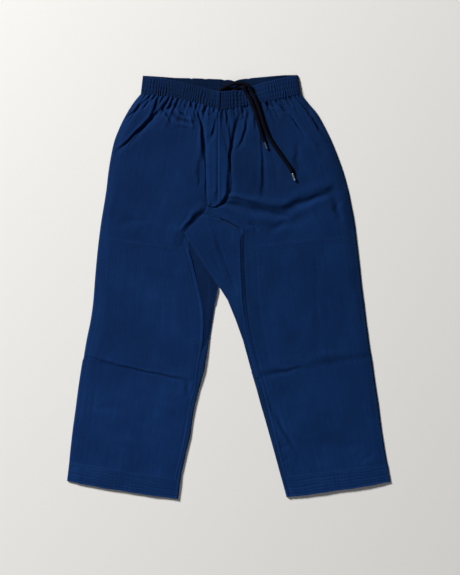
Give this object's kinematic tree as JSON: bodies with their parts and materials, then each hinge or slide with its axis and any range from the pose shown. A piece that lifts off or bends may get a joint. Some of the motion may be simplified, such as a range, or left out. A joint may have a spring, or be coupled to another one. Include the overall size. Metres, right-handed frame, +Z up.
{
  "type": "jiu-jitsu gi trousers",
  "caption": "Cotton gi trousers laid flat, front up: gathered elastic waist with a loose drawstring, fly placket, folded crotch gusset, knee patches and stitched hem bands.",
  "frame": {"origin": "middle of the plan on the surface that the trousers lie on", "axes": "+Y from the leg ends towards the waist, +Z up out of the surface, +X towards the wearer's left leg"},
  "size_m": [0.724, 0.9498, 0.0151],
  "materials": {
    "back_leg_right": "blue cotton twill, matt",
    "back_leg_left": "blue cotton twill, matt",
    "front_leg_right": "blue cotton twill, matt",
    "front_leg_left": "blue cotton twill, matt",
    "gusset": "blue cotton twill, matt",
    "waistband_back": "blue cotton twill gathered over elastic",
    "waistband_front": "blue cotton twill gathered over elastic",
    "fly_placket": "blue cotton twill, topstitched",
    "knee_patch_right": "blue cotton twill, topstitched",
    "knee_patch_left": "blue cotton twill, topstitched",
    "hem_right": "blue cotton twill, rows of topstitching",
    "hem_left": "blue cotton twill, rows of topstitching",
    "drawstring_right": "black flat cotton braid",
    "drawstring_left": "black flat cotton braid",
    "aglet_right": "bright metal cord end",
    "aglet_left": "dull metal cord end"
  },
  "bodies": {
    "root": {"back_leg_right": "back_leg_right", "back_leg_left": "back_leg_left", "front_leg_right": "front_leg_right", "front_leg_left": "front_leg_left", "gusset": "gusset", "waistband_back": "waistband_back", "waistband_front": "waistband_front", "fly_placket": "fly_placket", "knee_patch_right": "knee_patch_right", "knee_patch_left": "knee_patch_left", "hem_right": "hem_right", "hem_left": "hem_left", "drawstring_right": "drawstring_right", "drawstring_left": "drawstring_left", "aglet_right": "aglet_right", "aglet_left": "aglet_left"}
  },
  "joints": []
}
